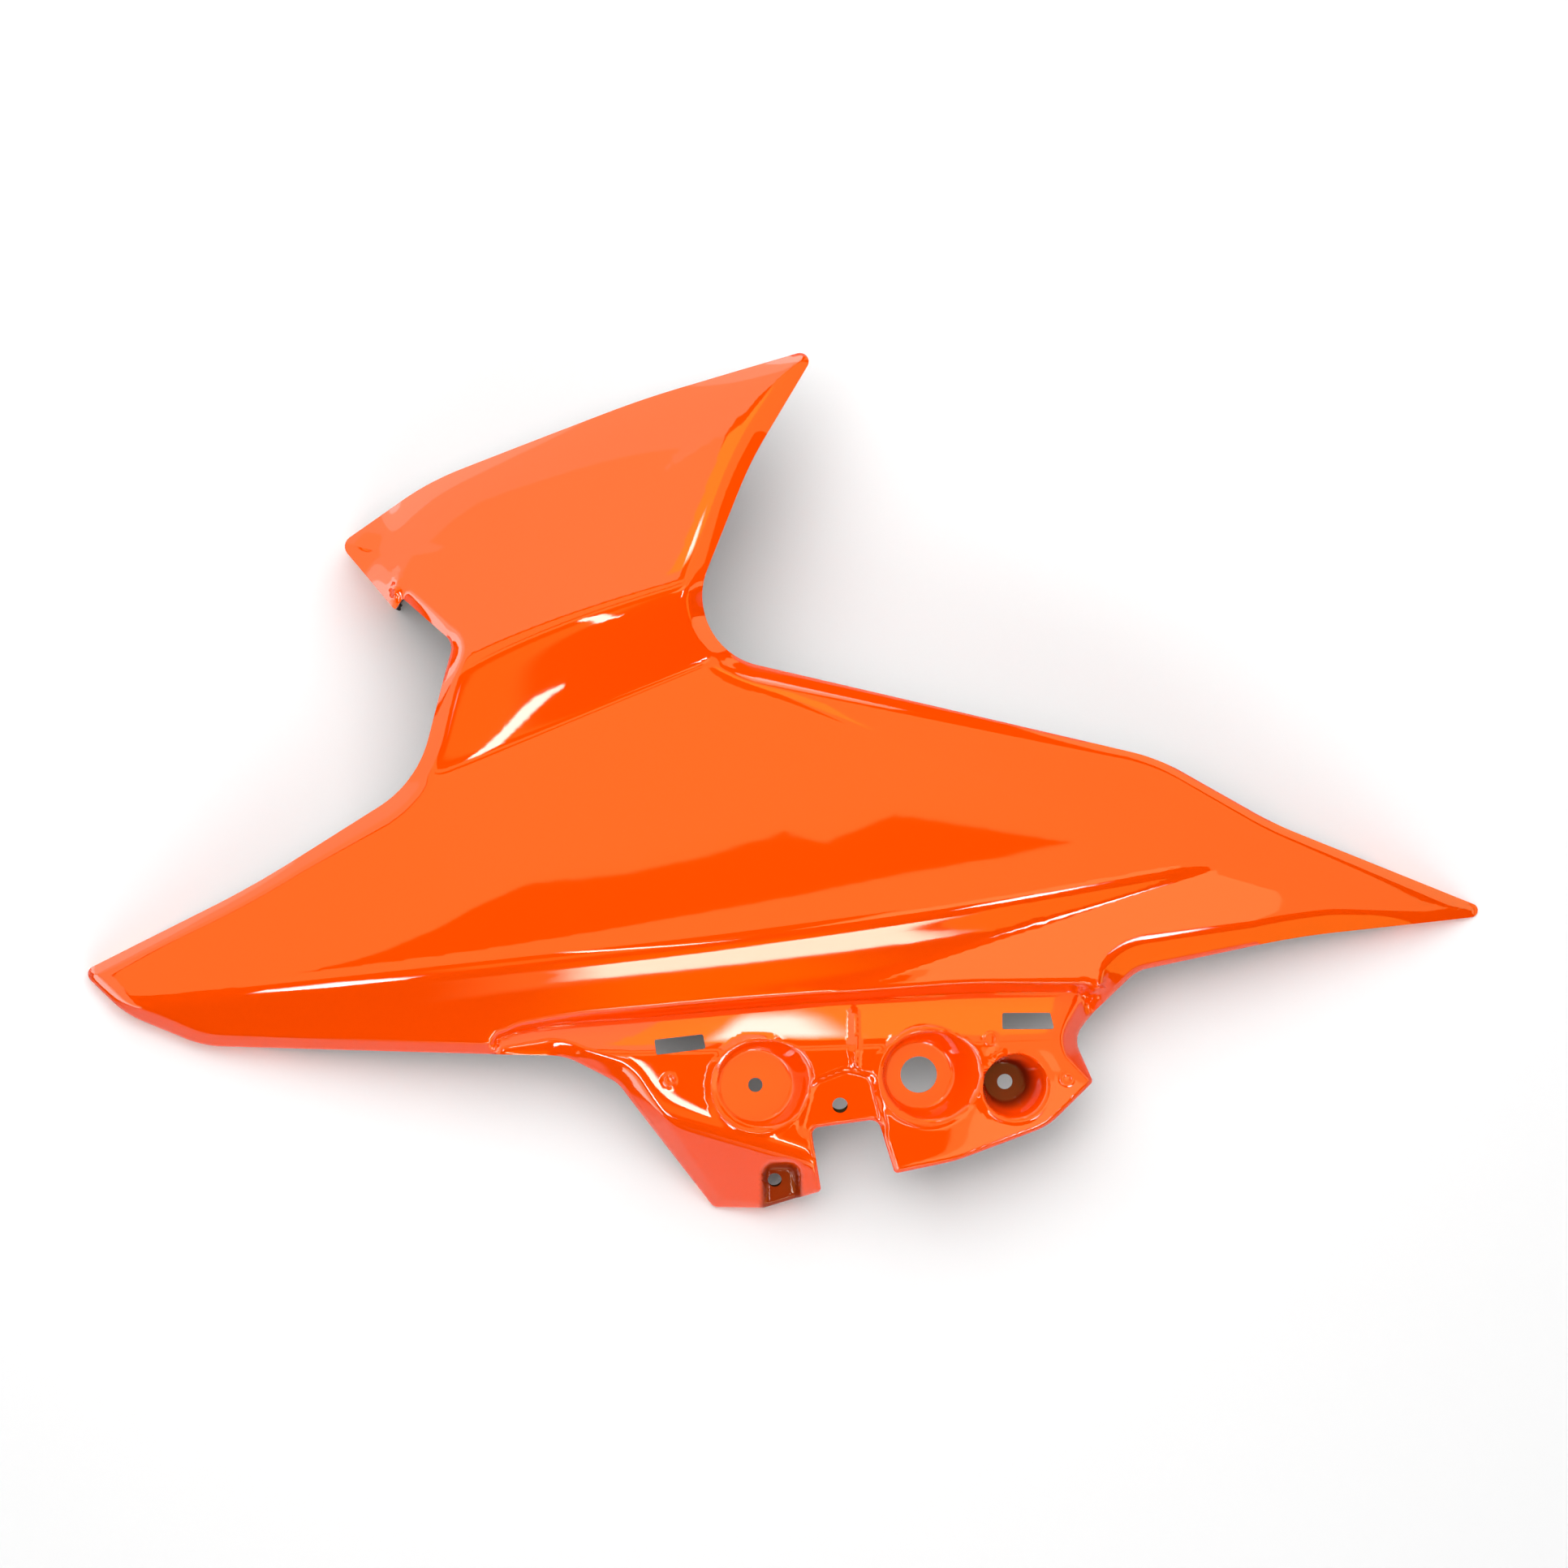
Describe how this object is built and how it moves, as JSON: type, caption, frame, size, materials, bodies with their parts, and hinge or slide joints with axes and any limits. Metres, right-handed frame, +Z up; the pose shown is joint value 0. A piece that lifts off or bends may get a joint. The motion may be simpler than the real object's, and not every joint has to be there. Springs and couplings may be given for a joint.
{
  "type": "motorbike headlight fairing",
  "caption": "Moulded motorbike headlight side fairing with a raised wing, a pointed nose and tail, rolled rims and a stepped mounting apron with screw seats.",
  "frame": {"origin": "on the table under the middle of the panel's plan, as it lies outer face up", "axes": "+X from the nose to the tail, +Y from the apron to the wing, +Z up, out of the painted face"},
  "size_m": [0.54, 0.3322, 0.0837],
  "materials": {
    "orange_paint": "gloss clear coat"
  },
  "bodies": {
    "root": {"fairing_panel": "orange_paint"}
  },
  "joints": []
}
